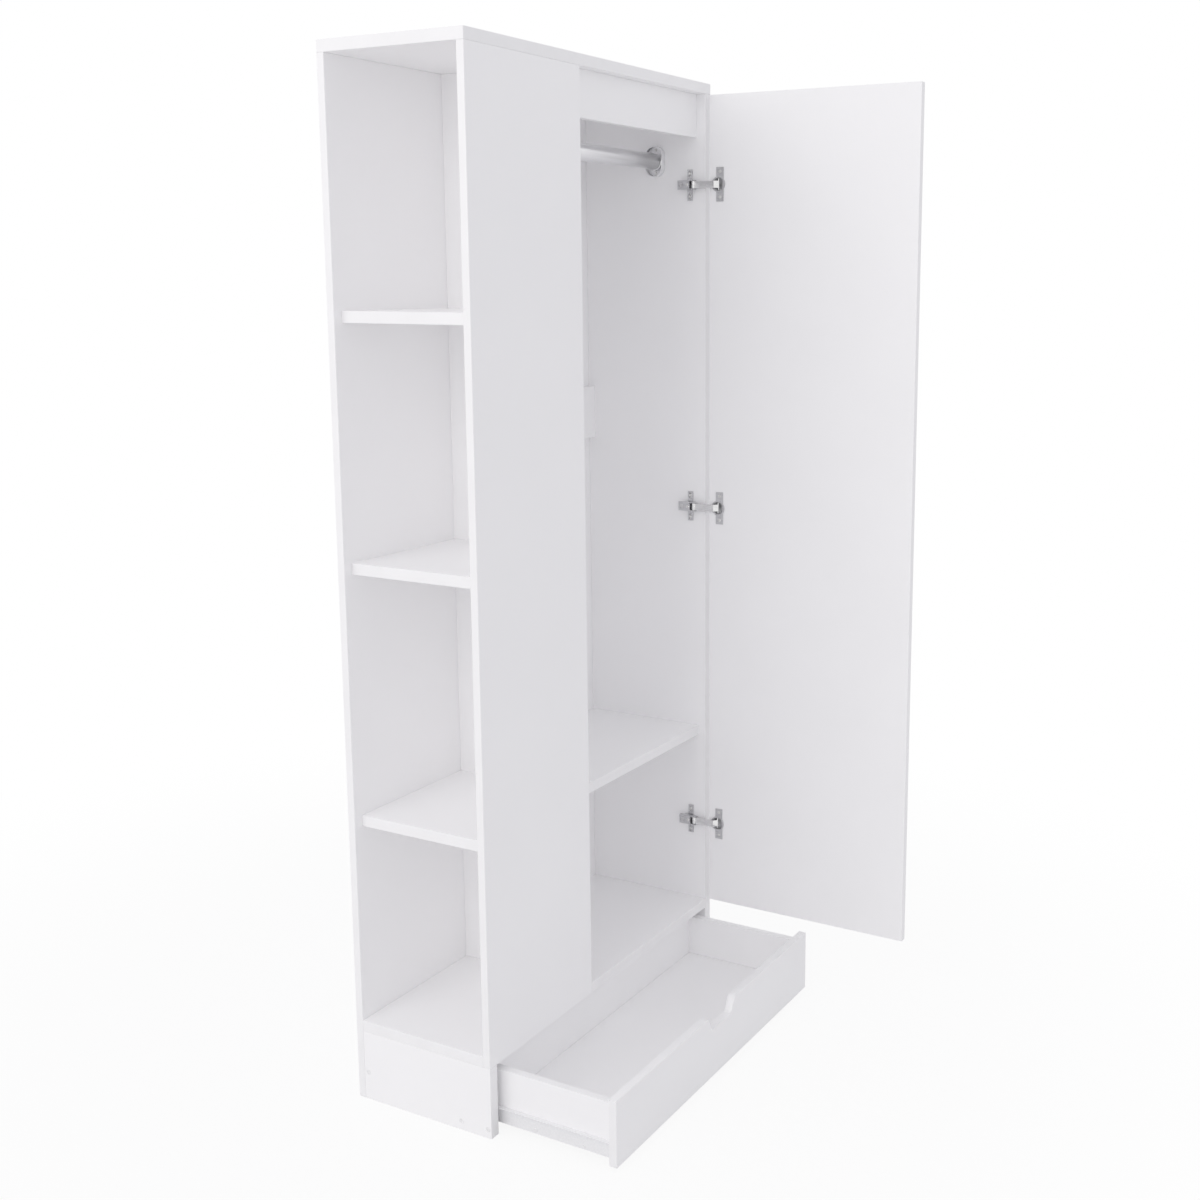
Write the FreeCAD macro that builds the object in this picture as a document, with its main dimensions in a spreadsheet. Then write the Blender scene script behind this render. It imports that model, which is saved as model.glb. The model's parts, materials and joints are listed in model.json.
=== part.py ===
import FreeCAD, Part
import os
import re
import Sketcher

# Corner wardrobe: a tall cabinet with open end bays, one hinged door and a base drawer.
# The origin is on the floor, at the middle of the back face. +Z is up and the front faces -Y.
# At rest the door stands open at a right angle and the drawer is pulled out.

doc = FreeCAD.newDocument("corner_wardrobe")
sheet = doc.addObject("Spreadsheet::Sheet", "sizes")

# Driving dimensions, in millimetres.
SIZES = {
    # Overall size and boards
    "width": 850, "depth": 322, "height": 2000, "board": 22, "panel": 16,
    "fixed_width": 345, "base_height": 141,
    # End shelves, shelf and rails in the wardrobe bay
    "low_shelf_share": 0.2275, "mid_shelf_share": 0.498, "high_shelf_share": 0.7537, "end_setback": 20,
    "bay_shelf_share": 0.23, "bay_shelf_setback": 18,
    "valance_setback": 22, "valance_height": 90, "batten_share": 0.588, "batten_height": 117,
    # Clothes rail and its end sockets
    "rail_setback": 122, "rail_drop": 137, "rail_radius": 17.5, "rail_wall": 1.5, "rail_fit": 0.1,
    "socket_wall": 2.5, "socket_depth": 14, "socket_plate": 3, "socket_radius": 22, "socket_rise": 11,
    "socket_screw_reach": 25,
    # Dowels
    "dowel_radius": 4, "dowel_length": 28, "dowel_embed": 11,
    # Door
    "door_gap": 2, "door_end_gap": 3, "door_standoff": 11,
    # Hinges
    "hinge_rise": 188, "hinge_drop": 186, "mid_hinge_share": 0.5115,
    "cup_radius": 15, "cup_depth": 12, "cup_wall": 1.2, "cup_edge": 22,
    "flange_height": 72, "flange_width": 18, "flange_sheet": 1.5, "flange_offset": 4,
    "flange_screw_reach": 27,
    "wing_height": 66, "wing_width": 12.5, "wing_sheet": 3, "wing_screw_reach": 24, "wing_setback": 37,
    "plate_length": 34, "plate_width": 16, "plate_rise": 6,
    "arm_setback": 19, "arm_length": 42, "arm_width": 20, "arm_rise": 9, "arm_wall": 2, "nose_length": 13,
    "arm_slot_length": 9, "arm_slot_width": 8, "arm_slot_setback": 48,
    "adjuster_setback": 38, "adjuster_radius": 3.5, "adjuster_rise": 1,
    "link_pin_radius": 2, "link_pin_setback": 24, "link_pin_rise": 11, "link_fit": 0.05,
    "link_eye_radius": 4, "link_sheet": 3, "link_width": 15, "link_clear": 3.2, "link_bend_reach": 25,
    "bar_radius": 1.5, "bar_depth": 3, "bar_offset": 1.4, "bar_inset": 1.1,
    # Drawer
    "roller_stop_gap": 0.8, "drawer_end_gap": 3, "drawer_floor_gap": 6, "drawer_top_gap": 4,
    "drawer_length": 304, "drawer_side_drop": 12, "drawer_side_bottom": 18,
    "drawer_floor_sheet": 4, "drawer_floor_rise": 30, "groove_depth": 6, "groove_fit": 0.2,
    "notch_width": 114, "notch_foot": 80, "notch_depth": 30, "notch_round": 9,
    "drawer_dowel_radius": 3, "drawer_dowel_length": 24, "drawer_dowel_embed": 9, "drawer_dowel_inset": 24,
    # Roller runners
    "runner_space": 12.5, "runner_sheet": 1.2, "runner_flange": 9.5, "runner_end_gap": 1,
    "channel_middle": 40, "roller_radius": 6.5, "roller_width": 6, "roller_gap": 0.3, "roller_clear": 1.5,
    "axle_radius": 2, "axle_fit": 0.1, "axle_head_radius": 3.5, "axle_head": 0.6,
    "front_roller_setback": 23.2, "rear_roller_inset": 7,
    "track_rise": 1.5, "track_foot": 12, "track_screw_rise": 6,
    # Screws
    "screw_radius": 2, "screw_head_radius": 3.5, "screw_head": 1.2, "screw_length": 11,
    "runner_screw_inset": 60, "plinth_screw_head_radius": 5, "plinth_screw_length": 14,
    "plinth_screw_low": 18, "plinth_screw_high": 57, "plinth_screw_front": 8, "plinth_screw_second": 70,
    "plinth_screw_back": 10,
    # Overrun for cuts
    "overrun": 1,
}
for row, (alias, value) in enumerate(SIZES.items(), start=1):
    sheet.set(f"A{row}", alias.replace("_", " "))
    sheet.set(f"B{row}", str(value))
    sheet.setAlias(f"B{row}", alias)
doc.recompute()

# Places that follow from the driving dimensions.
PLACES = {
    "left": "0 - width / 2",
    "right": "width / 2",
    "front": "0 - depth",
    "inner_left": "left + board",
    "inner_right": "right - board",
    "inner_back": "0 - panel",
    "panel_back": "front + panel",
    "bay_left": "left + fixed_width",
    "divider_left": "bay_left - board",
    "floor_top": "base_height + board",
    "ceiling": "height - board",
    "right_middle": "right - board / 2",
    "divider_middle": "bay_left - board / 2",
    "plinth_middle": "left + board / 2",
    "floor_middle": "base_height + board / 2",
    # Shelf and batten heights, as shares of the clear height
    "clear_height": "ceiling - floor_top",
    "low_shelf_top": "floor_top + clear_height * low_shelf_share",
    "mid_shelf_top": "floor_top + clear_height * mid_shelf_share",
    "high_shelf_top": "floor_top + clear_height * high_shelf_share",
    "bay_shelf_top": "floor_top + clear_height * bay_shelf_share",
    "batten_low": "floor_top + clear_height * batten_share",
    # Door, open at rest, and the axis that it swings about
    "door_width": "inner_right - bay_left - 2 * door_gap",
    "door_low": "floor_top + door_end_gap",
    "door_top": "ceiling - door_end_gap",
    "door_face": "inner_right - door_gap",
    "door_edge": "front - door_standoff",
    "swing_offset": "(door_standoff + panel) / 2",
    "cup_y": "door_edge - cup_edge",
    "flange_y": "cup_y - flange_offset",
    "hinge_low": "door_low + hinge_rise",
    "hinge_high": "door_top - hinge_drop",
    "hinge_mid": "hinge_low + (hinge_high - hinge_low) * mid_hinge_share",
    # Hinge arm on the right side panel
    "pin_x": "inner_right - link_pin_rise",
    "pin_y": "front + link_pin_setback",
    "arm_face": "inner_right - plate_rise",
    "wing_y": "front + wing_setback",
    "adjuster_y": "front + adjuster_setback",
    "link_line": "link_pin_rise - door_gap - flange_sheet - link_clear - link_sheet / 2",
    "link_bend": "0 - link_pin_setback - link_bend_reach",
    "bar_across": "link_pin_rise - door_gap + bar_depth",
    "bar_along": "cup_y + bar_offset - pin_y",
    "bar_half": "cup_radius - cup_wall - bar_inset",
    # Drawer, pulled out at rest until its rear rollers near the front ones
    "roller_stop": "front_roller_setback + 2 * roller_radius + roller_stop_gap",
    "drawer_pull": "drawer_length - rear_roller_inset - roller_stop",
    "drawer_face": "front - drawer_pull",
    "drawer_back_face": "drawer_face + panel",
    "drawer_end": "drawer_face + drawer_length",
    "drawer_left": "inner_left + runner_space",
    "drawer_right": "inner_right - runner_space",
    "drawer_front_left": "inner_left + drawer_end_gap",
    "drawer_front_top": "base_height - drawer_top_gap",
    "drawer_side_top": "drawer_front_top - drawer_side_drop",
    "drawer_floor_top": "drawer_floor_rise + drawer_floor_sheet",
    # Runners
    "channel_half": "roller_radius + roller_gap + runner_sheet",
    "track_low": "channel_middle + channel_half + track_rise",
    "front_roller_z": "track_low - roller_gap - roller_radius",
    "front_roller_y": "front + front_roller_setback",
    "channel_front": "front_roller_y + roller_radius + roller_gap",
    "rear_roller_y": "drawer_end - rear_roller_inset",
    "axle_reach": "roller_clear + roller_width + roller_gap + axle_head",
}
HINGES = ("hinge_low", "hinge_mid", "hinge_high")
END_SHELVES = {
    "end_shelf_lower": "low_shelf_top",
    "end_shelf_middle": "mid_shelf_top",
    "end_shelf_upper": "high_shelf_top",
}
# Shares of a board's length at which its dowels stand.
PAIR_SHARES = (0.2, 0.8)
TRIPLE_SHARES = (0.1, 0.5, 0.9)
TURN_TO_X = FreeCAD.Rotation(FreeCAD.Vector(0, 1, 0), 90)
TURN_TO_Y = FreeCAD.Rotation(FreeCAD.Vector(1, 0, 0), -90)
TURN_TO_Z = FreeCAD.Rotation()
TURNS = {"x": TURN_TO_X, "y": TURN_TO_Y, "z": TURN_TO_Z}
nodes = []


def bind(text):
    """Writes a sum of named sizes and places as an expression on the sheet."""

    def word(found):
        name = found.group(0)
        if name in PLACES:
            return "(" + bind(PLACES[name]) + ")"
        if name in SIZES:
            return "sizes." + name
        return name

    return re.sub(r"[a-z_]+", word, text)


def value(text):
    """The present value of a sum of named sizes, in millimetres."""
    return float(sheet.evalExpression(bind(text)))


def place(piece, x, y, z):
    for axis, text in zip("xyz", (x, y, z)):
        piece.setExpression(f"Placement.Base.{axis}", bind(text))


def box(name, x, y, z):
    """A block between two places along each axis."""
    piece = doc.addObject("Part::Box", name)
    for side, (low, high) in zip(("Length", "Width", "Height"), (x, y, z)):
        piece.setExpression(side, bind(f"({high}) - ({low})"))
    place(piece, x[0], y[0], z[0])
    return piece


def rod(name, axis, radius, length, x, y, z):
    """A cylinder that starts at a place and runs along an axis."""
    piece = doc.addObject("Part::Cylinder", name)
    piece.setExpression("Radius", bind(radius))
    piece.setExpression("Height", bind(length))
    piece.Placement = FreeCAD.Placement(FreeCAD.Vector(), TURNS[axis])
    place(piece, x, y, z)
    return piece


def fuse(name, pieces):
    whole = doc.addObject("Part::MultiFuse", name)
    whole.Shapes = pieces
    return whole


def cut(name, base, tools):
    whole = doc.addObject("Part::Cut", name)
    whole.Base = base
    whole.Tool = tools[0] if len(tools) == 1 else fuse(name + "_tools", tools)
    return whole


def group(name, pieces):
    whole = doc.addObject("Part::Compound", name)
    whole.Links = pieces
    return whole


def node(label, piece):
    piece.Label = label
    nodes.append(piece)
    return piece


def profile(name, plane, points, length, x, y, z, middle=False):
    """A body padded from a polygon, each of whose corners is bound to the sheet."""
    body = doc.addObject("PartDesign::Body", name)
    sketch = body.newObject("Sketcher::SketchObject", name + "_outline")
    support = next(item for item in body.Origin.OriginFeatures if item.Role == plane)
    sketch.AttachmentSupport = [(support, "")]
    sketch.MapMode = "FlatFace"
    corners = [FreeCAD.Vector(value(across), value(along), 0) for across, along in points]
    count = len(corners)
    for index in range(count):
        sketch.addGeometry(Part.LineSegment(corners[index], corners[(index + 1) % count]), False)
    for index in range(count):
        sketch.addConstraint(Sketcher.Constraint("Coincident", index, 2, (index + 1) % count, 1))
    for index, (across, along) in enumerate(points):
        for kind, text in (("DistanceX", across), ("DistanceY", along)):
            number = sketch.addConstraint(Sketcher.Constraint(kind, -1, 1, index, 1, value(text)))
            sketch.setExpression(f"Constraints[{number}]", bind(text))
    pad = body.newObject("PartDesign::Pad", name + "_pad")
    pad.Profile = sketch
    pad.setExpression("Length", bind(length))
    pad.Midplane = middle
    pad.Reversed = plane == "XZ_Plane"
    body.Tip = pad
    place(body, x, y, z)
    return body


# Boards of the carcass, before their dowel holes are drilled.
blanks = {
    "top_board": box("top_blank", ("left", "right"), ("front", "0"), ("ceiling", "height")),
    "right_side_panel": box("right_blank", ("inner_right", "right"), ("front", "inner_back"),
                            ("0", "ceiling")),
    "back_panel": box("back_blank", ("left", "right"), ("inner_back", "0"), ("0", "ceiling")),
    "left_plinth_panel": box("plinth_blank", ("left", "inner_left"), ("front", "inner_back"),
                             ("0", "base_height")),
    "front_fixed_panel": box("fixed_blank", ("left", "bay_left"), ("front", "panel_back"),
                             ("base_height", "ceiling")),
    "divider_panel": box("divider_blank", ("divider_left", "bay_left"), ("panel_back", "inner_back"),
                         ("floor_top", "ceiling")),
    "wardrobe_shelf": box("bay_shelf_blank", ("bay_left", "inner_right"),
                          ("front + bay_shelf_setback", "inner_back"),
                          ("bay_shelf_top - board", "bay_shelf_top")),
    "valance_rail": box("valance_blank", ("bay_left", "inner_right"),
                        ("front + valance_setback", "front + valance_setback + panel"),
                        ("ceiling - valance_height", "ceiling")),
    "back_batten": box("batten_blank", ("bay_left", "inner_right"), ("inner_back - panel", "inner_back"),
                       ("batten_low", "batten_low + batten_height")),
    # The bottom board steps back behind the fixed panel and comes forward to the front in the bay.
    "bottom_board": profile(
        "bottom_blank", "XY_Plane",
        [("left", "panel_back"), ("bay_left", "panel_back"), ("bay_left", "front"), ("inner_right", "front"),
         ("inner_right", "inner_back"), ("left", "inner_back")],
        "board", "0", "0", "base_height"),
}
for label, top in END_SHELVES.items():
    blanks[label] = box(label + "_blank", ("left + end_setback", "divider_left"),
                        ("panel_back", "inner_back"), (f"{top} - board", top))

# Hidden dowels. Each row: axis, joint face, side that takes the short end, and the other two places.
dowels = []


def dowel_row(axis, face, short_side_first, shares, low, high, fixed):
    """Dowels across one joint face, spread between two places."""
    start = f"({face}) - dowel_embed" if short_side_first else f"({face}) + dowel_embed - dowel_length"
    along, across, level = fixed
    for share in shares:
        spot = {axis: start, along: f"({low}) + (({high}) - ({low})) * {share}", across: level}
        dowels.append(rod(f"dowel_{len(dowels)}", axis, "dowel_radius", "dowel_length",
                          spot["x"], spot["y"], spot["z"]))


# Top board on the uprights
dowel_row("z", "ceiling", False, PAIR_SHARES, "front", "inner_back", ("y", "x", "right_middle"))
dowel_row("z", "ceiling", False, PAIR_SHARES, "panel_back", "inner_back", ("y", "x", "divider_middle"))
dowel_row("z", "ceiling", False, PAIR_SHARES, "left", "bay_left", ("x", "y", "front + panel / 2"))
dowel_row("z", "ceiling", False, TRIPLE_SHARES, "left", "right", ("x", "y", "inner_back + panel / 2"))
# Bottom board on the plinth, at the side, the divider and the two wide panels
dowel_row("z", "base_height", False, PAIR_SHARES, "panel_back", "inner_back", ("y", "x", "plinth_middle"))
dowel_row("x", "inner_right", False, PAIR_SHARES, "front", "inner_back", ("y", "z", "floor_middle"))
dowel_row("z", "floor_top", True, PAIR_SHARES, "panel_back", "inner_back", ("y", "x", "divider_middle"))
dowel_row("y", "panel_back", True, PAIR_SHARES, "left", "divider_left", ("x", "z", "floor_middle"))
dowel_row("y", "inner_back", False, TRIPLE_SHARES, "left", "inner_right", ("x", "z", "floor_middle"))
# Uprights between the wide panels
dowel_row("y", "panel_back", True, TRIPLE_SHARES, "floor_top", "ceiling", ("z", "x", "divider_middle"))
dowel_row("y", "inner_back", False, TRIPLE_SHARES, "floor_top", "ceiling", ("z", "x", "divider_middle"))
dowel_row("y", "inner_back", False, TRIPLE_SHARES, "base_height", "ceiling", ("z", "x", "right_middle"))
dowel_row("y", "inner_back", False, PAIR_SHARES, "0", "base_height", ("z", "x", "plinth_middle"))
# Shelves, valance and batten
for top in END_SHELVES.values():
    shelf_middle = ("x", "z", f"{top} - board / 2")
    dowel_row("y", "panel_back", True, PAIR_SHARES, "left + end_setback", "divider_left", shelf_middle)
    dowel_row("y", "inner_back", False, PAIR_SHARES, "left + end_setback", "divider_left", shelf_middle)
bay_boards = (
    ("front + bay_shelf_setback", "inner_back", "y", "z", "bay_shelf_top - board / 2"),
    ("ceiling - valance_height", "ceiling", "z", "y", "front + valance_setback + panel / 2"),
    ("batten_low", "batten_low + batten_height", "z", "y", "inner_back - panel / 2"),
)
for low, high, along, across, level in bay_boards:
    dowel_row("x", "bay_left", True, PAIR_SHARES, low, high, (along, across, level))
    dowel_row("x", "inner_right", False, PAIR_SHARES, low, high, (along, across, level))
dowel_group = node("carcass_dowels", group("carcass_dowels", dowels))

# Clothes rail and its end sockets
rail_y = "front + rail_setback"
rail_z = "ceiling - rail_drop"
rail_start = "bay_left + socket_plate"
rail_length = "inner_right - bay_left - 2 * socket_plate"
rail_tube = rod("rail_outside", "x", "rail_radius", rail_length, rail_start, rail_y, rail_z)
rail_bore = rod("rail_bore", "x", "rail_radius - rail_wall", f"{rail_length} + 2 * overrun",
                f"{rail_start} - overrun", rail_y, rail_z)
node("hanging_rail", cut("hanging_rail", rail_tube, [rail_bore]))


def screw(name, axis, outward, x, y, z, length="screw_length", head_radius="screw_head_radius"):
    """A pan-head screw whose head sits on a place and whose shank runs inward along an axis."""
    spot = {"x": x, "y": y, "z": z}
    shank = dict(spot)
    head = dict(spot)
    if outward < 0:
        head[axis] = f"({spot[axis]}) - screw_head"
    else:
        shank[axis] = f"({spot[axis]}) - ({length})"
    stem = rod(name + "_shank", axis, "screw_radius", length, shank["x"], shank["y"], shank["z"])
    cap = rod(name + "_head", axis, head_radius, "screw_head", head["x"], head["y"], head["z"])
    return fuse(name, [stem, cap])


socket_screws = []


def oval(name, radius, start, length):
    """An upright oval bar about the rail's axis, running along X."""
    pieces = [box(name + "_middle", (start, f"({start}) + {length}"),
                  (f"{rail_y} - ({radius})", f"{rail_y} + ({radius})"),
                  (f"{rail_z} - socket_rise", f"{rail_z} + socket_rise"))]
    for end, sign in (("low", "-"), ("high", "+")):
        pieces.append(rod(f"{name}_{end}", "x", radius, length, start, rail_y,
                          f"{rail_z} {sign} socket_rise"))
    return fuse(name, pieces)


def rail_socket(label, wall, outward):
    """An oval cup on one side of the bay, with a cradle in it that carries the rail."""
    start = wall if outward > 0 else f"({wall}) - socket_depth"
    face = f"({wall}) + socket_plate" if outward > 0 else f"({wall}) - socket_plate"
    hollow_start = face if outward > 0 else f"({face}) - socket_depth"
    shell = cut(label + "_shell", oval(label + "_outside", "socket_radius", start, "socket_depth"),
                [oval(label + "_hollow", "socket_radius - socket_wall", hollow_start, "socket_depth")])
    ring = rod(label + "_ring", "x", "rail_radius + rail_fit + socket_wall", "socket_depth",
               start, rail_y, rail_z)
    above = box(label + "_above", (f"({start}) - overrun", f"({start}) + socket_depth + overrun"),
                (f"{rail_y} - socket_radius", f"{rail_y} + socket_radius"),
                (rail_z, f"{rail_z} + socket_radius"))
    cradle = cut(label + "_cradle", ring, [above])
    for end, sign in (("low", "-"), ("high", "+")):
        socket_screws.append(screw(f"{label}_screw_{end}", "x", outward, face, rail_y,
                                   f"{rail_z} {sign} socket_screw_reach", "screw_length + socket_plate"))
    bore = rod(label + "_bore", "x", "rail_radius + rail_fit", "socket_depth", hollow_start, rail_y, rail_z)
    holes = group(label + "_holes", socket_screws[-2:])
    node(label, cut(label, fuse(label + "_body", [shell, cradle]), [bore, holes]))


rail_socket("rail_bracket_left", "bay_left", 1)
rail_socket("rail_bracket_right", "inner_right", -1)
node("rail_bracket_screws", group("rail_bracket_screws", socket_screws))

# Hinge plates, arms, pins and links on the right side panel
plates, arms, pins, links, plate_screws, adjusters = [], [], [], [], [], []
for name in HINGES:
    level = name
    seat = box(name + "_seat", ("arm_face", "inner_right"),
               ("wing_y - plate_length / 2", "wing_y + plate_length / 2"),
               (f"{level} - plate_width / 2", f"{level} + plate_width / 2"))
    wing = box(name + "_wing", ("inner_right - wing_sheet", "inner_right"),
               ("wing_y - wing_width / 2", "wing_y + wing_width / 2"),
               (f"{level} - wing_height / 2", f"{level} + wing_height / 2"))
    screws = [screw(f"{name}_plate_screw_{index}", "x", -1, "inner_right - wing_sheet", "wing_y",
                    f"{level} {side} wing_screw_reach", "screw_length + wing_sheet")
              for index, side in enumerate("-+")]
    adjuster_hole = rod(name + "_adjuster", "x", "screw_radius", "arm_rise + adjuster_rise",
                        "arm_face - arm_rise - adjuster_rise", "adjuster_y", level)
    plate_screws += screws
    plate = fuse(name + "_plate_body", [seat, wing])
    plates.append(cut(name + "_plate", plate, [group(name + "_drills", screws)]))

    # The arm is a channel over the plate. Its nose is two cheeks that hold the link's pin.
    arm_low, arm_high = f"{level} - arm_width / 2", f"{level} + arm_width / 2"
    channel = box(name + "_channel", ("arm_face - arm_rise", "arm_face"),
                  ("front + arm_setback", "front + arm_setback + arm_length"), (arm_low, arm_high))
    nose = box(name + "_nose", ("arm_face - arm_rise - overrun", "arm_face + overrun"),
               ("front + arm_setback - overrun", "front + arm_setback + nose_length"),
               (f"{arm_low} + arm_wall", f"{arm_high} - arm_wall"))
    inside = box(name + "_inside", ("arm_face - arm_rise + arm_wall", "arm_face + overrun"),
                 ("front + arm_setback - overrun", "front + arm_setback + arm_length + overrun"),
                 (f"{arm_low} + arm_wall", f"{arm_high} - arm_wall"))
    slot = box(name + "_slot", ("arm_face - arm_rise - overrun", "arm_face"),
               ("front + arm_slot_setback", "front + arm_slot_setback + arm_slot_length"),
               (f"{level} - arm_slot_width / 2", f"{level} + arm_slot_width / 2"))
    pin = rod(name + "_pin", "z", "link_pin_radius", "arm_width", "pin_x", "pin_y", arm_low)
    pins.append(pin)
    head = rod(name + "_adjuster_head", "x", "adjuster_radius", "adjuster_rise",
               "arm_face - arm_rise - adjuster_rise", "adjuster_y", level)
    adjusters.append(fuse(name + "_adjuster_screw", [adjuster_hole, head]))
    arms.append(cut(name + "_arm", channel, [nose, inside, slot, pin, adjuster_hole]))

    # The link turns on the pin, passes over the rim of the cup and ends in a cross bar inside it.
    front_line = "0 - link_pin_setback"
    outline = [
        ("0 - link_sheet / 2", "0"),
        ("link_line - link_sheet / 2", front_line),
        ("link_line - link_sheet / 2", "link_bend"),
        ("bar_across - link_sheet / 3", "bar_along - link_sheet / 3"),
        ("bar_across + link_sheet / 3", "bar_along + link_sheet / 3"),
        ("link_line + link_sheet / 2", "link_bend + link_sheet / 2"),
        ("link_line + link_sheet / 2", front_line),
        ("link_sheet / 2", "0"),
    ]
    strip = profile(name + "_strip", "XY_Plane", outline, "link_width", "pin_x", "pin_y", level, middle=True)
    eye_low = f"{level} - link_width / 2"
    eye = rod(name + "_eye", "z", "link_eye_radius", "link_width", "pin_x", "pin_y", eye_low)
    bar = rod(name + "_bar", "z", "bar_radius", "2 * bar_half", "pin_x + bar_across", "pin_y + bar_along",
              f"{level} - bar_half")
    bore = rod(name + "_eye_bore", "z", "link_pin_radius + link_fit", "link_width + 2 * overrun",
               "pin_x", "pin_y", f"{eye_low} - overrun")
    links.append(cut(name + "_link", fuse(name + "_link_body", [strip, eye, bar]), [bore]))
node("hinge_mounting_plates", group("hinge_mounting_plates", plates))
node("hinge_arms", group("hinge_arms", arms))
node("hinge_link_pins", group("hinge_link_pins", pins))
node("hinge_links", group("hinge_links", links))
node("hinge_plate_screws", group("hinge_plate_screws", plate_screws))
node("hinge_adjusting_screws", group("hinge_adjusting_screws", adjusters))

# Door with bored cup seats. The cups are let into its inner face.
cups, cup_screws, cup_seats = [], [], []
for name in HINGES:
    flange_face = "door_face - flange_sheet"
    seat = rod(name + "_cup_outside", "x", "cup_radius", "cup_depth", "door_face", "cup_y", name)
    cup_seats.append(seat)
    ears = box(name + "_flange", (flange_face, "door_face"),
               ("flange_y - flange_width / 2", "flange_y + flange_width / 2"),
               (f"{name} - flange_height / 2", f"{name} + flange_height / 2"))
    rim = rod(name + "_rim", "x", "cup_radius + flange_sheet", "flange_sheet", flange_face, "cup_y", name)
    hollow = rod(name + "_hollow", "x", "cup_radius - cup_wall",
                 "cup_depth - cup_wall + flange_sheet + overrun", f"{flange_face} - overrun", "cup_y", name)
    screws = [screw(f"{name}_cup_screw_{index}", "x", -1, flange_face, "flange_y",
                    f"{name} {side} flange_screw_reach", "screw_length + flange_sheet")
              for index, side in enumerate("-+")]
    cup_screws += screws
    cup = fuse(name + "_cup_body", [seat, ears, rim])
    cups.append(cut(name + "_cup", cup, [hollow, group(name + "_ears", screws)]))
door_blank = box("door_blank", ("door_face", "door_face + panel"), ("door_edge - door_width", "door_edge"),
                 ("door_low", "door_top"))
cup_screw_group = group("hinge_cup_screws", cup_screws)
node("door_panel", cut("door_panel", door_blank, [group("cup_seats", cup_seats), cup_screw_group]))
node("hinge_cups", group("hinge_cups", cups))
node("hinge_cup_screws", cup_screw_group)

# Runners. Each side has a channel on the cabinet and a track on the drawer, one roller on each.
cabinet_screws, drawer_screws = [], []
channel_length = "inner_back - runner_end_gap - channel_front"


def roller(label, side, y, z, wall):
    """A plain roller on an axle that stands out from a wall of the runner."""
    start = f"({wall}) + roller_clear" if side > 0 else f"({wall}) - roller_clear - roller_width"
    tyre = rod(label + "_tyre", "x", "roller_radius", "roller_width", start, y, z)
    bore = rod(label + "_bore", "x", "axle_radius + axle_fit", "roller_width + 2 * overrun",
               f"({start}) - overrun", y, z)
    node(label, cut(label, tyre, [bore]))


def axle(label, side, y, z, wall):
    """An axle with a rivet head that keeps its roller on."""
    start = wall if side > 0 else f"({wall}) - axle_reach"
    head_start = f"({wall}) + axle_reach - axle_head" if side > 0 else f"({wall}) - axle_reach"
    stem = rod(label + "_axle", "x", "axle_radius", "axle_reach", start, y, z)
    head = rod(label + "_axle_head", "x", "axle_head_radius", "axle_head", head_start, y, z)
    return [stem, head]


def runner_pair(hand, side, cabinet_wall, drawer_wall):
    """The runners of one side: side is +1 where the drawer lies towards +X of the cabinet wall."""
    sign = "" if side > 0 else "0 - "
    # Channel: a back, and two flanges between which the drawer's rear roller runs
    back = "channel_half"
    channel = profile(
        f"channel_{hand}", "XZ_Plane",
        [("0", f"0 - {back}"), (f"{sign}runner_flange", f"0 - {back}"),
         (f"{sign}runner_flange", f"runner_sheet - {back}"),
         (f"{sign}runner_sheet", f"runner_sheet - {back}"),
         (f"{sign}runner_sheet", f"{back} - runner_sheet"),
         (f"{sign}runner_flange", f"{back} - runner_sheet"),
         (f"{sign}runner_flange", back), ("0", back)],
        channel_length, cabinet_wall, "channel_front", "channel_middle")
    tab_x = (cabinet_wall, f"({cabinet_wall}) + runner_sheet")
    if side < 0:
        tab_x = (f"({cabinet_wall}) - runner_sheet", cabinet_wall)
    tab = box(f"channel_tab_{hand}", tab_x, ("panel_back + roller_gap", "channel_front"),
              ("channel_middle - channel_half", "channel_middle + channel_half"))
    web = f"({cabinet_wall}) + runner_sheet" if side > 0 else f"({cabinet_wall}) - runner_sheet"
    pieces = [channel, tab] + axle(f"front_{hand}", side, "front_roller_y", "front_roller_z", web)
    screws = [screw(f"cabinet_screw_{hand}_{index}", "x", side, web, spot, "channel_middle")
              for index, spot in enumerate(("channel_front + runner_screw_inset",
                                            "inner_back - runner_end_gap - runner_screw_inset"))]
    cabinet_screws.extend(screws)
    label = f"cabinet_runner_{hand}"
    node(label, cut(label, fuse(label + "_body", pieces), [group(label + "_drills", screws)]))
    roller(f"front_roller_{hand}", side, "front_roller_y", "front_roller_z", web)

    # Track: a foot under the drawer side, a web on its face and a ledge that rides on the front roller
    outward = "0 - " if side > 0 else ""
    low = "drawer_side_bottom"
    track = profile(
        f"track_{hand}", "XZ_Plane",
        [(f"{outward}runner_sheet", f"{low} - runner_sheet"),
         (f"{sign}track_foot", f"{low} - runner_sheet"),
         (f"{sign}track_foot", low), ("0", low), ("0", "track_low + runner_sheet"),
         (f"{outward}runner_flange", "track_low + runner_sheet"), (f"{outward}runner_flange", "track_low"),
         (f"{outward}runner_sheet", "track_low")],
        "drawer_length - panel", drawer_wall, "drawer_back_face", "0")
    face = f"({drawer_wall}) - runner_sheet" if side > 0 else f"({drawer_wall}) + runner_sheet"
    pieces = [track] + axle(f"rear_{hand}", -side, "rear_roller_y", "channel_middle", face)
    screws = [screw(f"track_screw_{hand}_{index}", "x", -side, face, spot, f"{low} + track_screw_rise")
              for index, spot in enumerate(("drawer_back_face + runner_screw_inset",
                                            "drawer_end - 2 * runner_screw_inset"))]
    drawer_screws.extend(screws)
    label = f"drawer_runner_{hand}"
    node(label, cut(label, fuse(label + "_body", pieces), [group(label + "_drills", screws)]))
    roller(f"rear_roller_{hand}", -side, "rear_roller_y", "channel_middle", face)


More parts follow.
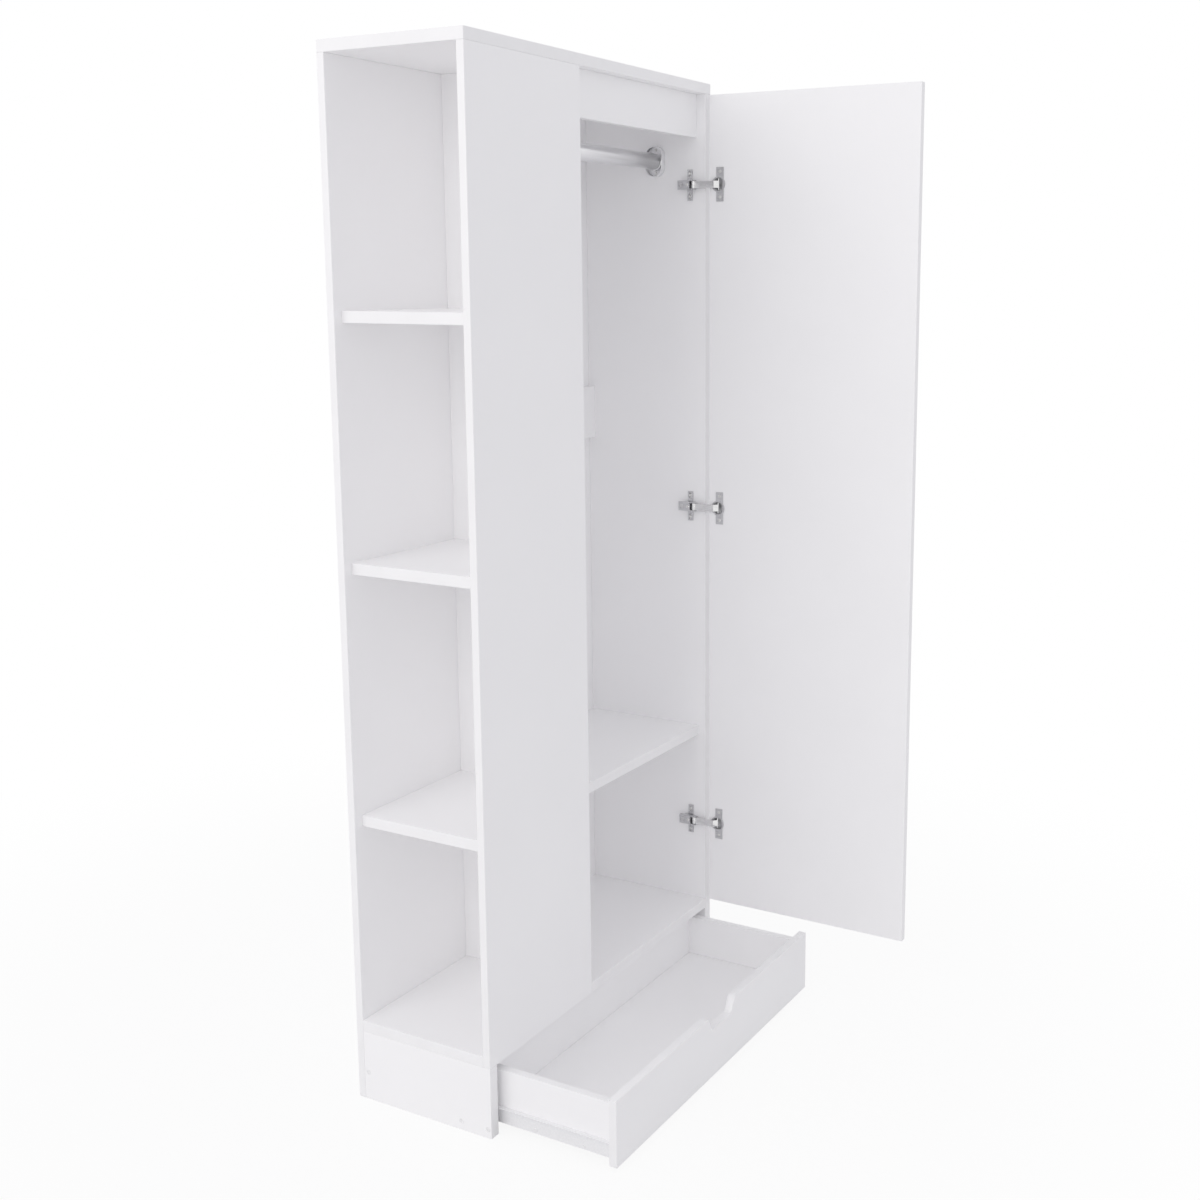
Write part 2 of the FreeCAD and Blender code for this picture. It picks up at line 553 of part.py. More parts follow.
runner_pair("left", 1, "inner_left", "drawer_left")
runner_pair("right", -1, "inner_right", "drawer_right")
cabinet_screw_group = node("cabinet_runner_screws", group("cabinet_runner_screws", cabinet_screws))
drawer_screw_group = node("drawer_runner_screws", group("drawer_runner_screws", drawer_screws))

# Drawer box
drawer_dowels = []
dowel_front_y = "drawer_back_face - drawer_dowel_embed"
dowel_back_y = "drawer_end - panel / 2"
dowel_back_x = "drawer_right - panel + drawer_dowel_embed - drawer_dowel_length"
for level in ("drawer_side_top - drawer_dowel_inset", "drawer_floor_top + drawer_dowel_inset"):
    for axis, x, y in (("y", "drawer_left + panel / 2", dowel_front_y),
                       ("y", "drawer_right - panel / 2", dowel_front_y),
                       ("x", "drawer_left + panel - drawer_dowel_embed", dowel_back_y),
                       ("x", dowel_back_x, dowel_back_y)):
        drawer_dowels.append(rod(f"drawer_dowel_{len(drawer_dowels)}", axis, "drawer_dowel_radius",
                                 "drawer_dowel_length", x, y, level))
drawer_dowel_group = node("drawer_dowels", group("drawer_dowels", drawer_dowels))
floor_x = ("drawer_left + panel - groove_depth", "drawer_right - panel + groove_depth")
floor_y = ("drawer_back_face - groove_depth", "drawer_end")
groove = box("groove", tuple(f"{text} {sign} groove_fit" for text, sign in zip(floor_x, "-+")),
             ("drawer_back_face - groove_depth - groove_fit", "drawer_end + overrun"),
             ("drawer_floor_rise - groove_fit", "drawer_floor_top + groove_fit"))
node("drawer_bottom", box("drawer_bottom", floor_x, floor_y, ("drawer_floor_rise", "drawer_floor_top")))
back_blank = box("drawer_back_blank", ("drawer_left + panel", "drawer_right - panel"),
                 ("drawer_end - panel", "drawer_end"), ("drawer_floor_top + groove_fit", "drawer_side_top"))
node("drawer_back", cut("drawer_back", back_blank, [drawer_dowel_group]))
for hand, span in (("left", ("drawer_left", "drawer_left + panel")),
                   ("right", ("drawer_right - panel", "drawer_right"))):
    blank = box(f"drawer_{hand}_blank", span, ("drawer_back_face", "drawer_end"),
                ("drawer_side_bottom", "drawer_side_top"))
    label = f"drawer_{hand}_side"
    node(label, cut(label, blank, [groove, drawer_dowel_group, drawer_screw_group]))

# Drawer front with a rounded finger notch in its top edge
front_right = "inner_right - drawer_end_gap"
front_blank = profile(
    "drawer_front_blank", "XZ_Plane",
    [("drawer_front_left", "drawer_floor_gap"), (front_right, "drawer_floor_gap"),
     (front_right, "drawer_front_top"), ("notch_width / 2", "drawer_front_top"),
     ("notch_foot / 2", "drawer_front_top - notch_depth"),
     ("0 - notch_foot / 2", "drawer_front_top - notch_depth"), ("0 - notch_width / 2", "drawer_front_top"),
     ("drawer_front_left", "drawer_front_top")],
    "panel", "0", "drawer_face", "0")
doc.recompute()
notch_corners = (("notch_width", "0"), ("notch_foot", "notch_depth"))
corner_spots = [(value(f"{sign}{reach} / 2"), value(f"drawer_front_top - {drop}"))
                for sign in ("", "0 - ") for reach, drop in notch_corners]
pad = front_blank.Tip
near = value("overrun") / 100


def is_notch_corner(edge):
    ends = [vertex.Point for vertex in edge.Vertexes]
    if len(ends) != 2:
        return False
    return any(all(abs(end.x - x) < near and abs(end.z - z) < near for end in ends) for x, z in corner_spots)


notch_edges = [f"Edge{index}" for index, edge in enumerate(pad.Shape.Edges, start=1)
               if is_notch_corner(edge)]
rounding = front_blank.newObject("PartDesign::Fillet", "notch_rounding")
rounding.Base = (pad, notch_edges)
rounding.setExpression("Radius", bind("notch_round"))
front_blank.Tip = rounding
node("drawer_front", cut("drawer_front", front_blank, [groove, drawer_dowel_group]))

# Screws in the plinth panel
plinth_spots = (("front + plinth_screw_front", "plinth_screw_low"),
                ("front + plinth_screw_second", "plinth_screw_low"),
                ("inner_back - plinth_screw_back", "plinth_screw_high"))
plinth_screws = [screw(f"plinth_screw_{index}", "x", -1, "left + screw_head", y, z, "plinth_screw_length",
                       "plinth_screw_head_radius")
                 for index, (y, z) in enumerate(plinth_spots)]
plinth_screw_group = node("plinth_screws", group("plinth_screws", plinth_screws))

# Finished boards: each blank with the holes of what is driven into it
drills = {
    "right_side_panel": [node_group for node_group in nodes if node_group.Label in
                         ("rail_bracket_screws", "hinge_plate_screws", "cabinet_runner_screws")],
    "divider_panel": [node_group for node_group in nodes if node_group.Label == "rail_bracket_screws"],
    "left_plinth_panel": [cabinet_screw_group, plinth_screw_group],
}
for label, blank in blanks.items():
    node(label, cut(label, blank, [dowel_group] + drills.get(label, [])))

doc.recompute()
for item in doc.Objects:
    if "Invalid" in item.State or "Error" in item.State:
        raise RuntimeError(f"{item.Label} did not build")
for item in nodes:
    if item.Shape.isNull() or not item.Shape.isValid():
        raise RuntimeError(f"{item.Label} has no valid shape")
os.makedirs("parts", exist_ok=True)
for item in nodes:
    item.Shape.exportStep(f"parts/{item.Label}.step")
    print(item.Label, len(item.Shape.Solids), round(item.Shape.Volume))
swing = [value(text) for text in ("door_face + swing_offset", "door_edge + swing_offset", "0")]
print("door axis", swing)
print("link axis", [value(text) for text in ("pin_x", "pin_y", "0")])
print("front roller", [value(text) for text in ("inner_left", "front_roller_y", "front_roller_z")])
print("rear roller", [value(text) for text in ("inner_left", "rear_roller_y", "channel_middle")])
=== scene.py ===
import json
import math

import bmesh
import bpy
from mathutils import Matrix, Vector


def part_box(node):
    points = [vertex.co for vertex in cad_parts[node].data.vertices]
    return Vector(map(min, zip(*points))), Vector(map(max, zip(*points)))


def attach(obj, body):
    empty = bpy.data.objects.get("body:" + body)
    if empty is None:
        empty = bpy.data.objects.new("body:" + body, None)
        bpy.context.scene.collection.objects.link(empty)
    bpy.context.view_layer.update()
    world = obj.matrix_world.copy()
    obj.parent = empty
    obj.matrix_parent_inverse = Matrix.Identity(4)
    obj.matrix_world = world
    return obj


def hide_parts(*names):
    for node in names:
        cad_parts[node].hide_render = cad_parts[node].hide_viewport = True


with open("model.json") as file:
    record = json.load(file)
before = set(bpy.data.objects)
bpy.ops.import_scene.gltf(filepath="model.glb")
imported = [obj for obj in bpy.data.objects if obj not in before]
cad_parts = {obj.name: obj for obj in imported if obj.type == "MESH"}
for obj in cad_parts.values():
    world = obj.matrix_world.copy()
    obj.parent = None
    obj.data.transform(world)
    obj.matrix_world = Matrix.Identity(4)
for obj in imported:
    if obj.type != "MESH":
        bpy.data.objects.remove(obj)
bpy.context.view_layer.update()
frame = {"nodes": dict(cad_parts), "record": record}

record = frame["record"]
bodyOfNode = {node: body for body, nodes in record["behaviour"]["bodies"].items() for node in nodes}
slotOfNode = {part["node"]: part["material_slot"] for part in record["subparts"]}
print("frame loaded,", len(frame["nodes"]), "nodes")


# material helpers

def newMaterial(name):
    material = bpy.data.materials.new(name)
    material.use_nodes = True
    return material, material.node_tree, material.node_tree.nodes["Principled BSDF"]


def addNode(tree, kind, inputs=None, **settings):
    node = tree.nodes.new(kind)
    for key, value in settings.items():
        setattr(node, key, value)
    for key, value in (inputs or {}).items():
        node.inputs[key].default_value = value
    return node


def shadeSurface(tree, shader, grain, relief, look):
    # colour and gloss follow the grain, the bump follows the relief
    ramp = addNode(tree, "ShaderNodeValToRGB")
    for index, colour in enumerate((look["shade"], look["colour"])):
        stop = ramp.color_ramp.elements[index]
        stop.position = look["stops"][index]
        stop.color = (*colour, 1.0)
    rough = addNode(tree, "ShaderNodeMapRange", {"To Min": look["rough"][0], "To Max": look["rough"][1]})
    bump = addNode(tree, "ShaderNodeBump", {"Strength": look["bump"], "Distance": look["depth"]})
    link = tree.links.new
    link(grain.outputs["Fac"], ramp.inputs["Fac"])
    link(ramp.outputs["Color"], shader.inputs["Base Color"])
    link(grain.outputs["Fac"], rough.inputs["Value"])
    link(rough.outputs["Result"], shader.inputs["Roughness"])
    link(relief.outputs["Fac"], bump.inputs["Height"])
    link(bump.outputs["Normal"], shader.inputs["Normal"])


# white melamine: very slight mottling, a fine peel in the gloss
melamineGrain = {"stops": (0.30, 0.62), "mottleDetail": 4.0, "peelDetail": 3.0}
boardLook = {
    **melamineGrain, "colour": (0.957, 0.954, 0.958), "shade": (0.945, 0.942, 0.946),
    "mottleScale": 5.0, "peelScale": 420.0, "bump": 0.05, "depth": 0.0004,
    "rough": (0.36, 0.46), "specular": 0.42,
}
# the edge band is a shade greyer and smoother
bandLook = {
    **melamineGrain, "colour": (0.922, 0.919, 0.923), "shade": (0.902, 0.899, 0.903),
    "mottleScale": 16.0, "peelScale": 700.0, "bump": 0.04, "depth": 0.0003,
    "rough": (0.30, 0.40), "specular": 0.45,
}


def makeMelamine(name, look):
    material, tree, shader = newMaterial(name)
    place = addNode(tree, "ShaderNodeTexCoord").outputs["Object"]
    mottle = addNode(tree, "ShaderNodeTexNoise",
                     {"Scale": look["mottleScale"], "Detail": look["mottleDetail"]})
    peel = addNode(tree, "ShaderNodeTexNoise", {"Scale": look["peelScale"], "Detail": look["peelDetail"]})
    for texture in (mottle, peel):
        tree.links.new(place, texture.inputs["Vector"])
    shadeSurface(tree, shader, mottle, peel, look)
    shader.inputs["Specular IOR Level"].default_value = look["specular"]
    return material


# plated and brushed metals: fine scratches, duller where they are darker
metalGrain = {"detail": 6.0, "fineness": 0.65, "stops": (0.25, 0.60), "depth": 0.0002, "metallic": 1.0}
# paint, moulded plastic and wood
plainGrain = {"detail": 5.0, "fineness": 0.50, "stops": (0.30, 0.65), "depth": 0.0002, "metallic": 0.0}
fittingLooks = {
    "hingeNickel": {**metalGrain, "colour": (0.70, 0.70, 0.71), "shade": (0.56, 0.56, 0.58),
                    "spread": (60.0, 60.0, 240.0), "rough": (0.38, 0.24), "bump": 0.08},
    # the links: smoother nickel, painted lighter than the plates as a painted highlight
    "linkNickel": {**metalGrain, "colour": (0.82, 0.82, 0.82), "shade": (0.70, 0.70, 0.70),
                   "spread": (60.0, 60.0, 240.0), "rough": (0.24, 0.14), "bump": 0.05},
    "railSteel": {**metalGrain, "colour": (0.93, 0.93, 0.94), "shade": (0.86, 0.86, 0.87),
                  "spread": (6.0, 420.0, 420.0), "rough": (0.38, 0.26), "bump": 0.05},
    "bracketMetal": {**metalGrain, "colour": (0.91, 0.91, 0.92), "shade": (0.82, 0.82, 0.83),
                     "spread": (90.0, 90.0, 90.0), "rough": (0.42, 0.28), "bump": 0.06},
    "screwSteel": {**metalGrain, "colour": (0.84, 0.84, 0.83), "shade": (0.68, 0.68, 0.67),
                   "spread": (150.0, 150.0, 150.0), "rough": (0.38, 0.24), "bump": 0.06},
    "runnerWhite": {**plainGrain, "colour": (0.91, 0.91, 0.915), "shade": (0.86, 0.86, 0.87),
                    "spread": (260.0, 260.0, 260.0), "rough": (0.28, 0.40), "bump": 0.05},
    "screwPaint": {**plainGrain, "colour": (0.93, 0.93, 0.93), "shade": (0.89, 0.89, 0.89),
                   "spread": (260.0, 260.0, 260.0), "rough": (0.32, 0.44), "bump": 0.05},
    "rollerPlastic": {**plainGrain, "colour": (0.74, 0.74, 0.72), "shade": (0.66, 0.66, 0.65),
                      "spread": (500.0, 500.0, 500.0), "rough": (0.45, 0.60), "bump": 0.10},
    "dowelWood": {**plainGrain, "colour": (0.62, 0.44, 0.27), "shade": (0.46, 0.31, 0.18),
                  "spread": (90.0, 90.0, 90.0), "rough": (0.55, 0.75), "bump": 0.25},
}
lookOfSlot = {
    "hinge_nickel": "hingeNickel", "rail_steel": "railSteel", "bracket_metal": "bracketMetal",
    "screw_steel": "screwSteel", "runner_white": "runnerWhite", "roller_plastic": "rollerPlastic",
    "dowel_wood": "dowelWood",
}


def makeGrained(name):
    look = fittingLooks[name]
    material, tree, shader = newMaterial(name)
    place = addNode(tree, "ShaderNodeTexCoord").outputs["Object"]
    spread = addNode(tree, "ShaderNodeMapping", {"Scale": look["spread"]})
    grain = addNode(tree, "ShaderNodeTexNoise",
                    {"Scale": 1.0, "Detail": look["detail"], "Roughness": look["fineness"]})
    tree.links.new(place, spread.inputs["Vector"])
    tree.links.new(spread.outputs["Vector"], grain.inputs["Vector"])
    shadeSurface(tree, shader, grain, grain, look)
    shader.inputs["Metallic"].default_value = look["metallic"]
    return material


finishes = {"white_board": makeMelamine("whiteMelamine", boardLook)}
for slotName, lookName in lookOfSlot.items():
    finishes[slotName] = makeGrained(lookName)
bandFinish = makeMelamine("edgeBand", bandLook)
linkPaintedHighlight = makeGrained("linkNickel")  # the links are polished, the plates are satin; the links' colour is also lighter than the plates', a painted highlight
paintedScrew = makeGrained("screwPaint")
for node, part in frame["nodes"].items():
    part.data.materials.clear()
    part.data.materials.append(finishes[slotOfNode[node]])
print("materials made:", len(finishes))


# piece helpers

def pieceName(node):
    first, *rest = node.split("_")
    return first + "".join(word.capitalize() for word in rest)


def placePiece(node, mesh):
    piece = bpy.data.objects.new(pieceName(node), mesh)
    bpy.context.collection.objects.link(piece)
    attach(piece, bodyOfNode[node])
    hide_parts(node)
    return piece


def evaluatedMesh(holder):
    graph = bpy.context.evaluated_depsgraph_get()
    return bpy.data.meshes.new_from_object(holder.evaluated_get(graph))


# a copy of a CAD node with rounded edges; angles in radians, lengths in metres
rounding = {"weld": 1e-6, "flat": math.radians(0.5), "bend": math.radians(40.0), "facet": 0.01,
            "profile": 0.5, "broadFace": 0.9}


def mergedCopy(node):
    shape = bmesh.new()
    shape.from_mesh(frame["nodes"][node].data)
    bmesh.ops.remove_doubles(shape, verts=shape.verts, dist=rounding["weld"])
    return shape


def cutHoles(shape, cutter):
    solids = []
    for name, part in (("blank", shape), ("cutter", cutter)):
        mesh = bpy.data.meshes.new(name)
        part.to_mesh(mesh)
        solids.append(bpy.data.objects.new(name, mesh))
        bpy.context.collection.objects.link(solids[-1])
    blank, knife = solids
    cutting = blank.modifiers.new("holes", "BOOLEAN")
    cutting.operation = "DIFFERENCE"
    cutting.solver = "EXACT"
    cutting.object = knife
    result = evaluatedMesh(blank)
    shape.clear()
    shape.from_mesh(result)
    for solid in solids:
        bpy.data.objects.remove(solid)


def softenNode(node, width, segments=2, shortest=0.0, band=None, holes=None):
    shape = mergedCopy(node)
    if holes:
        cutHoles(shape, holes)
    bmesh.ops.dissolve_limit(shape, angle_limit=rounding["flat"], verts=shape.verts, edges=shape.edges)
    sharp = [edge for edge in shape.edges if edge.is_manifold
             and edge.calc_face_angle(0) > rounding["bend"] and edge.calc_length() > shortest]
    for face in shape.faces:  # only the facets of a curve are shaded smooth
        face.smooth = any(edge.is_manifold and rounding["facet"] < edge.calc_face_angle(0) < rounding["bend"]
                          for edge in face.edges)
    rounded = bmesh.ops.bevel(shape, geom=sharp, offset=width, offset_type="OFFSET", segments=segments,
                              profile=rounding["profile"], affect="EDGES", clamp_overlap=True)
    for face in rounded["faces"]:
        face.smooth = True
    mesh = bpy.data.meshes.new(pieceName(node))
    mesh.materials.append(finishes[slotOfNode[node]])
    if band:  # the narrow faces of a board and their rounding
        low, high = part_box(node)
        thin = min(range(3), key=lambda axis: high[axis] - low[axis])
        shape.normal_update()
        for face in shape.faces:
            face.material_index = int(abs(face.normal[thin]) < rounding["broadFace"])
        mesh.materials.append(band)
    shape.to_mesh(mesh)
    shape.free()
    return placePiece(node, mesh)


def looseParts(node):
    shape = mergedCopy(node)
    reached = set()
    parts = []
    for start in shape.verts:  # in the mesh's own order, so that every run gives the same parts
        if start in reached:
            continue
        reached.add(start)
        queue = [start]
        points = []
        while queue:
            vert = queue.pop()
            points.append(vert.co.copy())
            for edge in vert.link_edges:
                other = edge.other_vert(vert)
                if other not in reached:
                    reached.add(other)
                    queue.append(other)
        parts.append(points)
    shape.free()
    return parts


def corners(points):
    low = Vector([min(point[axis] for point in points) for axis in range(3)])
    high = Vector([max(point[axis] for point in points) for axis in range(3)])
    return low, high


# boards: eased edges of an edge-banded panel, dowel holes left as drilled
boardEdge = {"width": 0.0010, "segments": 3, "shortest": 0.006}
ownEdges = {"drawer_front": 0.0008, "drawer_bottom": 0.0002, "drawer_back": 0.0003}
curvedBoards = ("drawer_front",)  # its notch is made of short edges, which are rounded too
boardNodes = [node for node, slotName in slotOfNode.items() if slotName == "white_board"]
for node in boardNodes:
    width = ownEdges.get(node, boardEdge["width"])
    shortest = 0.0 if node in curvedBoards else boardEdge["shortest"]
    softenNode(node, width, boardEdge["segments"], shortest, band=bandFinish)
print("boards:", len(boardNodes))

# the wings of the mounting plates are slotted, so that the door can be set up or down on its screws
wingSlot = {"width": 0.0056, "length": 0.0140, "steps": 12, "overrun": 0.0015}


def makeWingSlots(screwNode, plateNode, sizes):
    shape = bmesh.new()
    low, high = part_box(plateNode)
    radius = sizes["width"] / 2
    reach = sizes["length"] / 2 - radius
    start = low.x - sizes["overrun"]
    depth = high.x - low.x + 2 * sizes["overrun"]
    for points in looseParts(screwNode):
        first, last = corners(points)
        middle = (first + last) / 2
        outline = []
        for end in (1, -1):
            for step in range(sizes["steps"] + 1):
                turn = math.pi * step / sizes["steps"]
                outline.append((middle.y + end * radius * math.cos(turn),
                                middle.z + end * (reach + radius * math.sin(turn))))
        base = shape.faces.new([shape.verts.new((start, y, z)) for y, z in outline])
        wall = bmesh.ops.extrude_face_region(shape, geom=[base])["geom"]
        lifted = [item for item in wall if isinstance(item, bmesh.types.BMVert)]
        bmesh.ops.translate(shape, verts=lifted, vec=(depth, 0, 0))
    bmesh.ops.recalc_face_normals(shape, faces=shape.faces)
    return shape


# metal fittings, pressed and cast, with a small rounding
fittingEdges = {
    "hinge_mounting_plates": 0.0005, "hinge_arms": 0.0006, "hinge_links": 0.0005, "hinge_cups": 0.0004,
    "hinge_link_pins": 0.0003, "rail_bracket_left": 0.0006, "rail_bracket_right": 0.0006,
    "cabinet_runner_left": 0.0002, "cabinet_runner_right": 0.0002,
    "drawer_runner_left": 0.0002, "drawer_runner_right": 0.0002,
    "front_roller_left": 0.0005, "front_roller_right": 0.0005,
    "rear_roller_left": 0.0005, "rear_roller_right": 0.0005,
}
wingSlots = makeWingSlots("hinge_plate_screws", "hinge_mounting_plates", wingSlot)
for node, width in fittingEdges.items():
    piece = softenNode(node, width, holes=wingSlots if node == "hinge_mounting_plates" else None)
    if node == "hinge_links":
        # the links take the lighter nickel, a painted highlight
        piece.data.materials[0] = linkPaintedHighlight
wingSlots.free()
print("fittings:", len(fittingEdges))

# clothes rail: a drawn tube with rounded lips
tubeSizes = {"segments": 96, "wall": 0.0015, "lip": 0.0004, "sharpAngle": math.radians(50)}


def makeTube(node, sizes):
    low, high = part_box(node)
    middle = (low + high) / 2
    outer = (high.z - low.z) / 2
    inner = outer - sizes["wall"]
    lip = sizes["lip"]
    outline = [(low.x, inner), (low.x, outer - lip), (low.x + lip, outer),
               (high.x - lip, outer), (high.x, outer - lip), (high.x, inner)]
    shape = bmesh.new()
    rings = []
    for x, radius in outline:
        ring = []
        for step in range(sizes["segments"]):
            turn = 2 * math.pi * step / sizes["segments"]
            y = middle.y + radius * math.cos(turn)
            z = middle.z + radius * math.sin(turn)
            ring.append(shape.verts.new((x, y, z)))
        rings.append(ring)
    for index, ring in enumerate(rings):
        other = rings[(index + 1) % len(rings)]
        for step in range(len(ring)):
            following = (step + 1) % len(ring)
            face = shape.faces.new((ring[step], ring[following], other[following], other[step]))
            face.smooth = True
    bmesh.ops.recalc_face_normals(shape, faces=shape.faces)
    mesh = bpy.data.meshes.new(pieceName(node))
    shape.to_mesh(mesh)
    shape.free()
    mesh.materials.append(finishes[slotOfNode[node]])
    mesh.set_sharp_from_angle(angle=sizes["sharpAngle"])
    return placePiece(node, mesh)


makeTube("hanging_rail", tubeSizes)
print("clothes rail made")

# cross-head screws: one tree puts a head and shank on every place, and works in millimetres
# the cross and the crown are shares of the head; the blades differ, so that no two floors lie in one plane
screwSizes = {"crossLength": 1.15, "crossWidth": 0.30, "crossDepth": 0.85, "deeperBlade": 1.15,
              "crown": 0.80, "sides": 28, "unit": 0.001, "rim": 1e-5}
screwInputs = ("Head Radius", "Crown Radius", "Head Height", "Shank Radius", "Shank Length",
               "Cross Length", "Cross Width", "Cross Depth")


def makeScrewTree():
    tree = bpy.data.node_groups.new("crossHeadScrews", "GeometryNodeTree")
    sockets = [("Geometry", "INPUT", "Geometry")]
    sockets += [(label, "INPUT", "Float") for label in screwInputs]
    sockets += [("Facing", "INPUT", "Vector"), ("Finish", "INPUT", "Material"),
                ("Geometry", "OUTPUT", "Geometry")]
    for label, way, kind in sockets:
        tree.interface.new_socket(label, in_out=way, socket_type="NodeSocket" + kind)
    ends = addNode(tree, "NodeGroupInput")
    out = addNode(tree, "NodeGroupOutput")
    link = tree.links.new

    def shifted(mesh, height):
        move = addNode(tree, "GeometryNodeTransform")
        point = addNode(tree, "ShaderNodeCombineXYZ")
        link(height, point.inputs["Z"])
        link(mesh, move.inputs["Geometry"])
        link(point.outputs[0], move.inputs["Translation"])
        return move.outputs[0]

    def scaled(label, factor):
        product = addNode(tree, "ShaderNodeMath", {1: factor}, operation="MULTIPLY")
        link(ends.outputs[label], product.inputs[0])
        return product.outputs[0]

    def barrel(bottom, top, length):
        mesh = addNode(tree, "GeometryNodeMeshCone", {"Vertices": screwSizes["sides"]})
        link(ends.outputs[bottom], mesh.inputs["Radius Bottom"])
        link(ends.outputs[top], mesh.inputs["Radius Top"])
        link(ends.outputs[length], mesh.inputs["Depth"])
        return mesh.outputs["Mesh"]

    def blade(along, across, deepening):
        box = addNode(tree, "GeometryNodeMeshCube")
        size = addNode(tree, "ShaderNodeCombineXYZ")
        link(ends.outputs["Cross Length"], size.inputs[along])
        link(ends.outputs["Cross Width"], size.inputs[across])
        link(scaled("Cross Depth", deepening), size.inputs["Z"])
        link(size.outputs[0], box.inputs["Size"])
        return shifted(box.outputs["Mesh"], ends.outputs["Head Height"])

    head = barrel("Head Radius", "Crown Radius", "Head Height")
    shank = barrel("Shank Radius", "Shank Radius", "Shank Length")
    recess = addNode(tree, "GeometryNodeMeshBoolean", operation="DIFFERENCE")
    link(head, recess.inputs["Mesh 1"])
    link(blade("X", "Y", 1.0), recess.inputs["Mesh 2"])
    link(blade("Y", "X", screwSizes["deeperBlade"]), recess.inputs["Mesh 2"])
    joined = addNode(tree, "GeometryNodeJoinGeometry")
    link(recess.outputs["Mesh"], joined.inputs[0])
    # a cone stands on the origin, so the shank is let down by its own length
    link(shifted(shank, scaled("Shank Length", -1.0)), joined.inputs[0])
    shrink = addNode(tree, "GeometryNodeTransform", {"Scale": [screwSizes["unit"]] * 3})
    aim = addNode(tree, "FunctionNodeAlignRotationToVector", axis="Z")
    copies = addNode(tree, "GeometryNodeInstanceOnPoints")
    real = addNode(tree, "GeometryNodeRealizeInstances")
    paint = addNode(tree, "GeometryNodeSetMaterial")
    link(joined.outputs[0], shrink.inputs["Geometry"])
    link(ends.outputs["Facing"], aim.inputs["Vector"])
    link(ends.outputs["Geometry"], copies.inputs["Points"])
    link(shrink.outputs[0], copies.inputs["Instance"])
    link(aim.outputs[0], copies.inputs["Rotation"])
    link(copies.outputs[0], real.inputs[0])
    link(real.outputs[0], paint.inputs["Geometry"])
    link(ends.outputs["Finish"], paint.inputs["Material"])
    link(paint.outputs[0], out.inputs[0])
    return tree


screwTree = makeScrewTree()


def endHeight(points, x):
    low, high = corners([point for point in points if abs(point.x - x) < screwSizes["rim"]])
    return high.z - low.z


def measureScrew(points):
    low, high = corners(points)
    side = -1 if endHeight(points, low.x) > endHeight(points, high.x) else 1  # the head is the wider end
    crown, tip = (low.x, high.x) if side < 0 else (high.x, low.x)
    rims = sorted({round(point.x, 6) for point in points})
    seat = rims[1] if side < 0 else rims[-2]
    headRadius = (high.z - low.z) / 2
    headHeight = abs(seat - crown)
    shankRadius = endHeight(points, tip) / 2
    lengths = (headRadius, headRadius * screwSizes["crown"], headHeight, shankRadius, abs(tip - seat),
               headRadius * screwSizes["crossLength"], headRadius * screwSizes["crossWidth"],
               headHeight * 2 * screwSizes["crossDepth"])
    sizes = {label: length / screwSizes["unit"] for label, length in zip(screwInputs, lengths)}
    return side, (seat, (low.y + high.y) / 2, (low.z + high.z) / 2), sizes


def makeScrews(node):
    groups = {-1: [], 1: []}
    for points in looseParts(node):
        side, place, sizes = measureScrew(points)  # all screws of a node are alike
        groups[side].append(place)
    shape = bmesh.new()
    for side, places in groups.items():
        if not places:
            continue
        spots = bpy.data.meshes.new("screwPlaces")
        spots.from_pydata(places, [], [])
        holder = bpy.data.objects.new("screwHolder", spots)
        bpy.context.collection.objects.link(holder)
        grow = holder.modifiers.new("screws", "NODES")
        grow.node_group = screwTree
        values = dict(sizes, Facing=(float(side), 0.0, 0.0), Finish=finishes[slotOfNode[node]])
        for item in screwTree.interface.items_tree:
            if item.in_out == "INPUT" and item.name in values:
                grow[item.identifier] = values[item.name]
        shape.from_mesh(evaluatedMesh(holder))
        bpy.data.objects.remove(holder)
    mesh = bpy.data.meshes.new(pieceName(node))
    shape.to_mesh(mesh)
    shape.free()
    mesh.materials.clear()
    mesh.materials.append(finishes[slotOfNode[node]])
    return placePiece(node, mesh)


screwNodes = [node for node, slotName in slotOfNode.items() if slotName == "screw_steel"]
whiteScrews = ("plinth_screws", "drawer_runner_screws")  # painted like the boards and runners they hold
for node in screwNodes:
    piece = makeScrews(node)
    if node in whiteScrews:
        piece.data.materials[0] = paintedScrew
print("screws:", len(screwNodes), "groups")

# studio: pale floor, white world, soft light mostly from the left
stageSizes = {"floor": 30.0, "drop": 0.0005, "floorColour": (0.80, 0.80, 0.80), "floorRough": 0.9,
              "glow": 0.90, "near": 0.6, "far": 2.2}
plainWhite = (1, 1, 1, 1)


